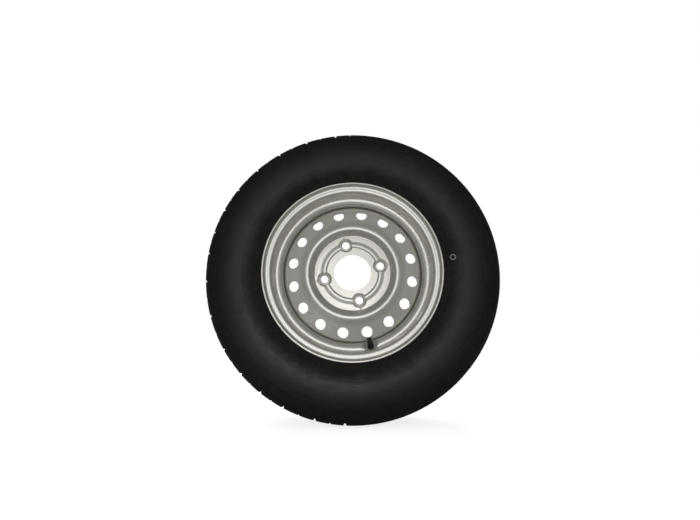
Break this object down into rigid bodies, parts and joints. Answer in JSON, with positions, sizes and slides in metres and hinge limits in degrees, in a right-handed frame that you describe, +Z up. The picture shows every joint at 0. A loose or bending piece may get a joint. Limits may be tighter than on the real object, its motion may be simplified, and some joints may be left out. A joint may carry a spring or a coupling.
{
  "type": "wheel and tyre assembly",
  "caption": "Pressed-steel road wheel with a vented disc welded in its rim, a tubeless tyre and a snap-in rubber valve with a sprung core pin and a screw cap.",
  "frame": {"origin": "the wheel's centre: on the axle line, midway between the rim's two flanges", "axes": "+Y along the axle line towards the vehicle (the hub's side), -Y out of the wheel's outer face, +Z up; the valve stands at the lower right as seen from the outer face"},
  "size_m": [0.6429, 0.188, 0.643],
  "materials": {
    "tyre_rubber": "moulded black rubber, satin sheen on the sidewall, matt on the tread",
    "rim_paint": "silver wheel paint, satin",
    "disc_paint": "silver wheel paint, satin, a little orange peel",
    "weld_paint": "silver paint over weld beads",
    "valve_rubber": "moulded black rubber",
    "brass": "turned brass",
    "core_brass": "turned brass",
    "core_gasket": "moulded sealing ring",
    "seal_rubber": "soft rubber",
    "spring_steel": "spring wire",
    "cap_plastic": "moulded black plastic"
  },
  "bodies": {
    "wheel": {"tyre": "tyre_rubber", "rim": "rim_paint", "wheel_disc": "disc_paint", "disc_welds": "weld_paint", "valve_body": "valve_rubber", "valve_stem": "brass", "valve_core_plug": "core_brass", "valve_core_barrel": "core_brass", "valve_core_gasket": "core_gasket", "valve_core_spring": "spring_steel"},
    "core_pin": {"valve_core_pin": "core_brass", "valve_core_cup": "core_brass", "valve_core_seal": "seal_rubber"},
    "cap_seal": {"valve_cap_seal": "seal_rubber"},
    "cap": {"valve_cap": "cap_plastic"}
  },
  "joints": [
    {"name": "pin_press", "type": "slide", "parent": "wheel", "child": "core_pin", "axis": [0.1677, 0.7061, -0.688], "range_m": [0, 0.0015], "stiffness_N_per_m": 800, "springref_m": -0.001, "deforming": ["valve_core_spring"]},
    {"name": "cap_lift", "type": "slide", "parent": "wheel", "child": "cap_seal", "axis": [-0.1677, -0.7061, 0.688], "range_m": [0, 0.00317]},
    {"name": "cap_turn", "type": "hinge", "parent": "cap_seal", "child": "cap", "pos_m": [0.03673, -0.05303, -0.15067], "axis": [-0.1677, -0.7061, 0.688], "range_deg": [0, 1440]}
  ],
  "couplings": [
    {"joint": "cap_turn", "follows": "cap_lift", "rad_per_m": 7915.8}
  ]
}
